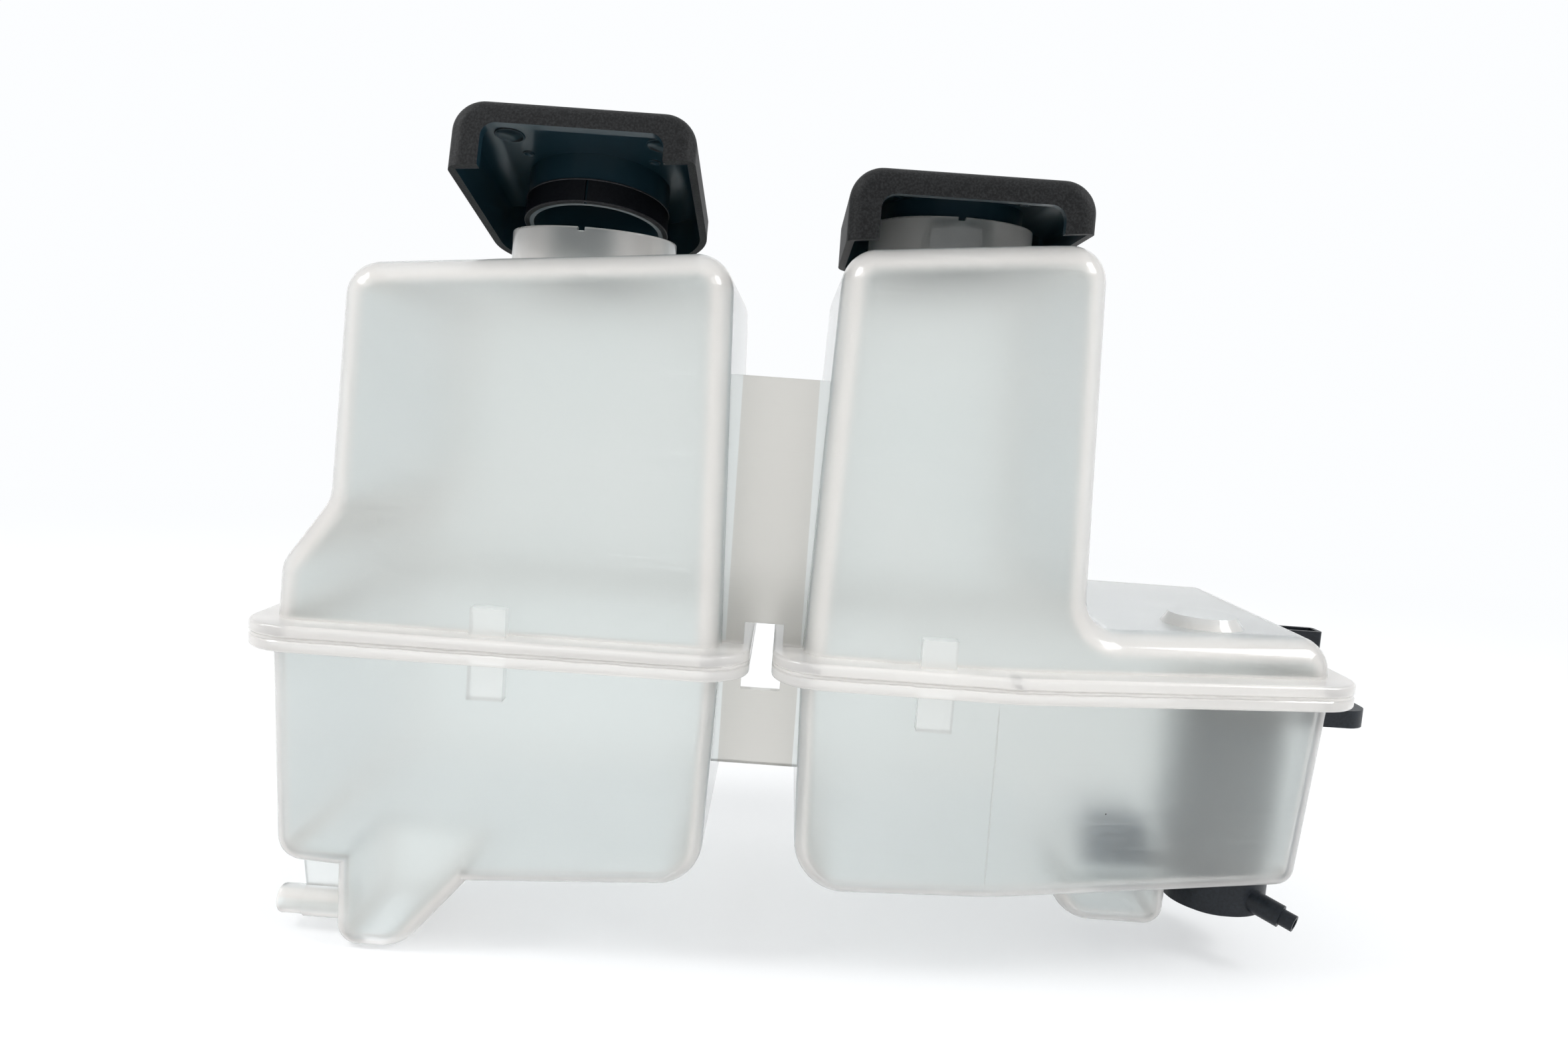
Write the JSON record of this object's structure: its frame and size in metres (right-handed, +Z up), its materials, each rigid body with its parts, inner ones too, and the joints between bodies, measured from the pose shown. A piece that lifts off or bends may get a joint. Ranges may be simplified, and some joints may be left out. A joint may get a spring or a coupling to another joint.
{
  "type": "coolant expansion tank",
  "caption": "Twin-chamber milky plastic expansion tank with hinged hooded filler lids, a welded flange, a web with a bracket slot, a hose nipple and a washer pump.",
  "frame": {"origin": "centre of the bracket slot in the web, on the weld plane between the two mouldings", "axes": "+X along the tank from the coolant chamber to the washer chamber, +Y from the front wall to the back, +Z up along the mould draw"},
  "size_m": [0.359, 0.1478, 0.2601],
  "materials": {
    "milky_plastic": "translucent milky polypropylene, satin with glossy corners",
    "lid_plastic": "fine grained black plastic, smoother inside",
    "pump_plastic": "satin black moulded plastic",
    "strainer_plastic": "black moulded plastic",
    "rubber": "matte black rubber",
    "pin_steel": "drawn steel rod",
    "can_steel": "pressed steel",
    "magnet": "dark ferrite and carbon",
    "brass": "tinned brass",
    "bronze": "sintered bronze"
  },
  "bodies": {
    "tank": {"upper_shell": "milky_plastic", "lower_shell": "milky_plastic", "pump_housing": "pump_plastic", "pump_cap": "pump_plastic", "pump_head": "pump_plastic", "pump_cover": "pump_plastic", "inlet_strainer": "strainer_plastic", "pump_grommet": "rubber", "shaft_seal": "rubber", "coolant_hinge_pin": "pin_steel", "washer_hinge_pin": "pin_steel", "flux_can": "can_steel", "motor_magnets": "magnet", "motor_brushes": "magnet", "pump_terminals": "brass", "upper_bush": "bronze", "lower_bush": "bronze"},
    "coolant_lid": {"coolant_lid": "lid_plastic", "coolant_lid_seal": "rubber"},
    "washer_lid": {"washer_lid": "lid_plastic", "washer_lid_seal": "rubber"},
    "pump_rotor": {"motor_shaft": "pin_steel", "armature": "can_steel", "commutator": "brass", "impeller": "pump_plastic"}
  },
  "joints": [
    {"name": "coolant_lid_hinge", "type": "hinge", "parent": "tank", "child": "coolant_lid", "pos_m": [-0.067, 0.112, 0.12257], "axis": [-1, 0, 0], "range_deg": [-13.5, 91.5]},
    {"name": "washer_lid_hinge", "type": "hinge", "parent": "tank", "child": "washer_lid", "pos_m": [0.053, 0.112, 0.13391], "axis": [-1, 0, 0], "range_deg": [-0.9, 104.1]},
    {"name": "impeller_spin", "type": "hinge", "parent": "tank", "child": "pump_rotor", "pos_m": [0.1617, 0.038, -0.06], "axis": [0, 0, 1], "continuous": true}
  ]
}
